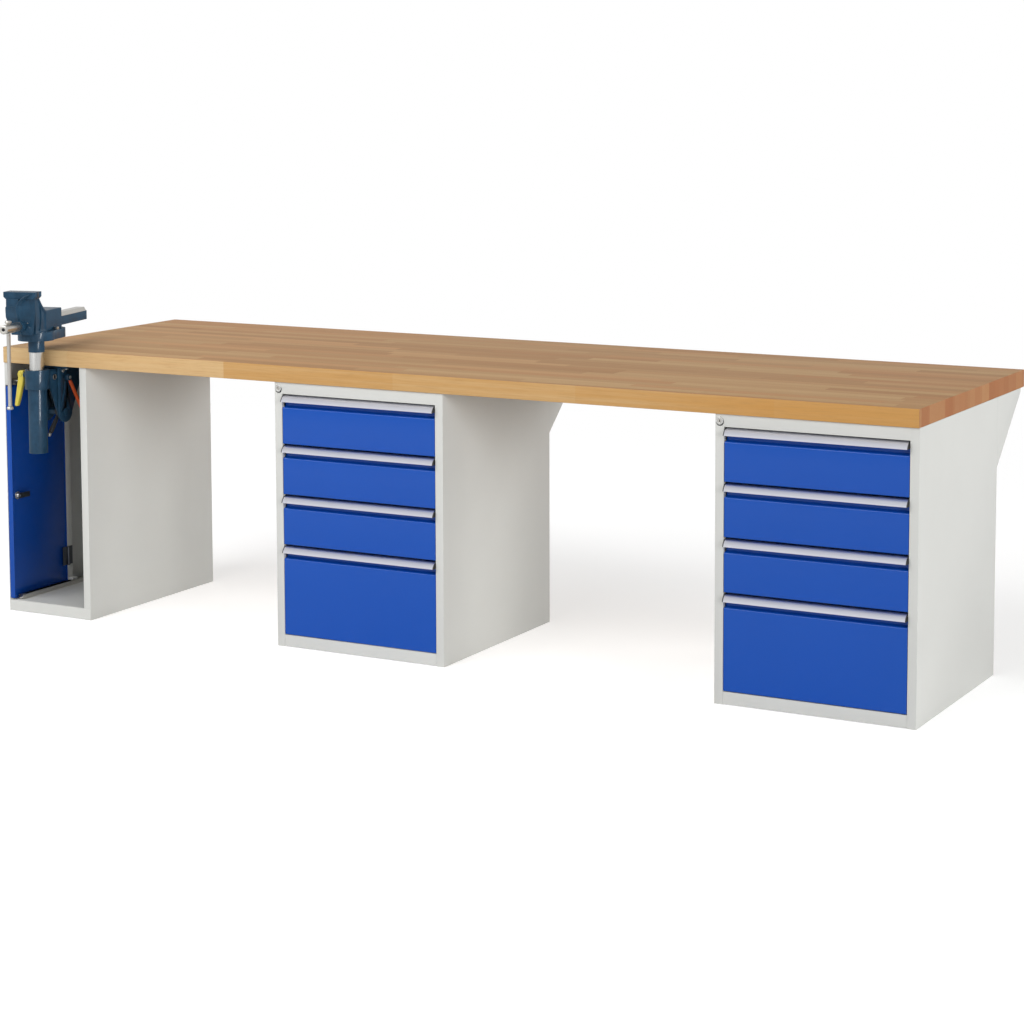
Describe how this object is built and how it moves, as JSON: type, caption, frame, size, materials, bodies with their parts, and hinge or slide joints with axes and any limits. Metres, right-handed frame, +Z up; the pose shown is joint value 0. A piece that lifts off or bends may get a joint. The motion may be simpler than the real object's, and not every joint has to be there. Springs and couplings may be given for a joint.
{
  "type": "workbench",
  "caption": "Long workshop bench with a beech top on steel drawer cabinets and a fold-away vise on a height-adjustable column.",
  "frame": {"origin": "on the floor under the middle of the worktop", "axes": "+X along the bench to the right, +Y to the back, +Z up"},
  "size_m": [3, 1.1437, 1.031],
  "materials": {
    "beech": "oiled",
    "cabinet_grey": "powder coat",
    "drawer_blue": "powder coat",
    "aluminium": "anodised",
    "vise_blue": "semi-gloss enamel",
    "chrome": "polished",
    "zinc_steel": "zinc plated",
    "jaw_steel": "ground",
    "black_steel": "satin",
    "yellow_grip": "moulded",
    "orange_grip": "dipped",
    "black_grip": "moulded"
  },
  "bodies": {
    "frame": {"worktop": "beech", "vise_carcass": "cabinet_grey", "middle_carcass": "cabinet_grey", "right_carcass": "cabinet_grey", "rear_brackets": "cabinet_grey", "top_screws": "zinc_steel", "drawer_rails": "zinc_steel", "lock_housings": "chrome", "door_tracks": "zinc_steel", "lift_console": "vise_blue", "lift_pivot_bolts": "vise_blue"},
    "middle_drawer_1": {"middle_drawer_1_box": "cabinet_grey", "middle_drawer_1_front": "drawer_blue", "middle_drawer_1_handle": "aluminium"},
    "middle_drawer_2": {"middle_drawer_2_box": "cabinet_grey", "middle_drawer_2_front": "drawer_blue", "middle_drawer_2_handle": "aluminium"},
    "middle_drawer_3": {"middle_drawer_3_box": "cabinet_grey", "middle_drawer_3_front": "drawer_blue", "middle_drawer_3_handle": "aluminium"},
    "middle_drawer_4": {"middle_drawer_4_box": "cabinet_grey", "middle_drawer_4_front": "drawer_blue", "middle_drawer_4_handle": "aluminium"},
    "middle_lock": {"middle_lock_plug": "zinc_steel"},
    "right_drawer_1": {"right_drawer_1_box": "cabinet_grey", "right_drawer_1_front": "drawer_blue", "right_drawer_1_handle": "aluminium"},
    "right_drawer_2": {"right_drawer_2_box": "cabinet_grey", "right_drawer_2_front": "drawer_blue", "right_drawer_2_handle": "aluminium"},
    "right_drawer_3": {"right_drawer_3_box": "cabinet_grey", "right_drawer_3_front": "drawer_blue", "right_drawer_3_handle": "aluminium"},
    "right_drawer_4": {"right_drawer_4_box": "cabinet_grey", "right_drawer_4_front": "drawer_blue", "right_drawer_4_handle": "aluminium"},
    "right_lock": {"right_lock_plug": "zinc_steel"},
    "door": {"door_pan": "drawer_blue", "door_post": "cabinet_grey", "door_hinges": "zinc_steel", "door_lock": "zinc_steel"},
    "door_cam": {"door_lock_cam": "zinc_steel"},
    "lift_arm": {"swing_bracket": "vise_blue", "guide_tube": "vise_blue", "gas_spring_body": "black_steel"},
    "clamp": {"clamp_lever": "yellow_grip"},
    "latch": {"latch_lever": "orange_grip"},
    "release": {"release_handle": "black_grip"},
    "lift": {"lift_column": "chrome", "lift_spigot": "vise_blue", "gas_spring_rod": "chrome"},
    "vise": {"vise_foot": "vise_blue", "foot_bolts": "zinc_steel", "vise_body": "vise_blue", "fixed_jaw_plate": "jaw_steel"},
    "jaw": {"moving_jaw": "vise_blue", "moving_jaw_plate": "jaw_steel"},
    "spindle": {"jaw_spindle": "zinc_steel"},
    "tommy": {"tommy_bar": "zinc_steel"}
  },
  "joints": [
    {"name": "middle_drawer_1_slide", "type": "slide", "parent": "frame", "child": "middle_drawer_1", "axis": [0, -1, 0], "range_m": [0, 0.45]},
    {"name": "middle_drawer_2_slide", "type": "slide", "parent": "frame", "child": "middle_drawer_2", "axis": [0, -1, 0], "range_m": [0, 0.45]},
    {"name": "middle_drawer_3_slide", "type": "slide", "parent": "frame", "child": "middle_drawer_3", "axis": [0, -1, 0], "range_m": [0, 0.45]},
    {"name": "middle_drawer_4_slide", "type": "slide", "parent": "frame", "child": "middle_drawer_4", "axis": [0, -1, 0], "range_m": [0, 0.45]},
    {"name": "middle_lock_turn", "type": "hinge", "parent": "frame", "child": "middle_lock", "pos_m": [-0.469, -0.445, 0.772], "axis": [0, -1, 0], "range_deg": [0, 90]},
    {"name": "right_drawer_1_slide", "type": "slide", "parent": "frame", "child": "right_drawer_1", "axis": [0, -1, 0], "range_m": [0, 0.45]},
    {"name": "right_drawer_2_slide", "type": "slide", "parent": "frame", "child": "right_drawer_2", "axis": [0, -1, 0], "range_m": [0, 0.45]},
    {"name": "right_drawer_3_slide", "type": "slide", "parent": "frame", "child": "right_drawer_3", "axis": [0, -1, 0], "range_m": [0, 0.45]},
    {"name": "right_drawer_4_slide", "type": "slide", "parent": "frame", "child": "right_drawer_4", "axis": [0, -1, 0], "range_m": [0, 0.45]},
    {"name": "right_lock_turn", "type": "hinge", "parent": "frame", "child": "right_lock", "pos_m": [0.943, -0.445, 0.772], "axis": [0, -1, 0], "range_deg": [0, 90]},
    {"name": "door_slide", "type": "slide", "parent": "frame", "child": "door", "axis": [0, -1, 0], "range_m": [0, 0.22]},
    {"name": "door_cam_turn", "type": "hinge", "parent": "door", "child": "door_cam", "pos_m": [-1.4685, -0.423, 0.366], "axis": [1, 0, 0], "range_deg": [0, 90]},
    {"name": "lift_fold", "type": "hinge", "parent": "frame", "child": "lift_arm", "pos_m": [-1.34, -0.395, 0.64], "axis": [-1, 0, 0], "range_deg": [-180, 0]},
    {"name": "clamp_turn", "type": "hinge", "parent": "lift_arm", "child": "clamp", "pos_m": [-1.379, -0.494, 0.764], "axis": [-1, 0, 0], "range_deg": [0, 100]},
    {"name": "latch_turn", "type": "hinge", "parent": "frame", "child": "latch", "pos_m": [-1.293, -0.392, 0.75], "axis": [-1, 0, 0], "range_deg": [0, 40]},
    {"name": "release_turn", "type": "hinge", "parent": "lift_arm", "child": "release", "pos_m": [-1.325, -0.395, 0.64], "axis": [1, 0, 0], "range_deg": [0, 35]},
    {"name": "lift_slide", "type": "slide", "parent": "lift_arm", "child": "lift", "axis": [0, 0, 1], "range_m": [-0.015, 0.18]},
    {"name": "vise_swivel", "type": "hinge", "parent": "lift", "child": "vise", "pos_m": [-1.34, -0.482, 0.873], "axis": [0, 0, 1], "range_deg": [-13, 77]},
    {"name": "jaw_slide", "type": "slide", "parent": "vise", "child": "jaw", "axis": [0.225, -0.9744, 0], "range_m": [0, 0.12]},
    {"name": "spindle_turn", "type": "hinge", "parent": "jaw", "child": "spindle", "pos_m": [-1.29501, -0.67687, 0.927], "axis": [0.225, -0.9744, 0], "range_deg": [-7300, 7300]},
    {"name": "tommy_slide", "type": "slide", "parent": "spindle", "child": "tommy", "axis": [0, 0, 1], "range_m": [0, 0.217]}
  ],
  "couplings": [
    {"joint": "spindle_turn", "follows": "jaw_slide", "rad_per_m": 1047.2}
  ]
}
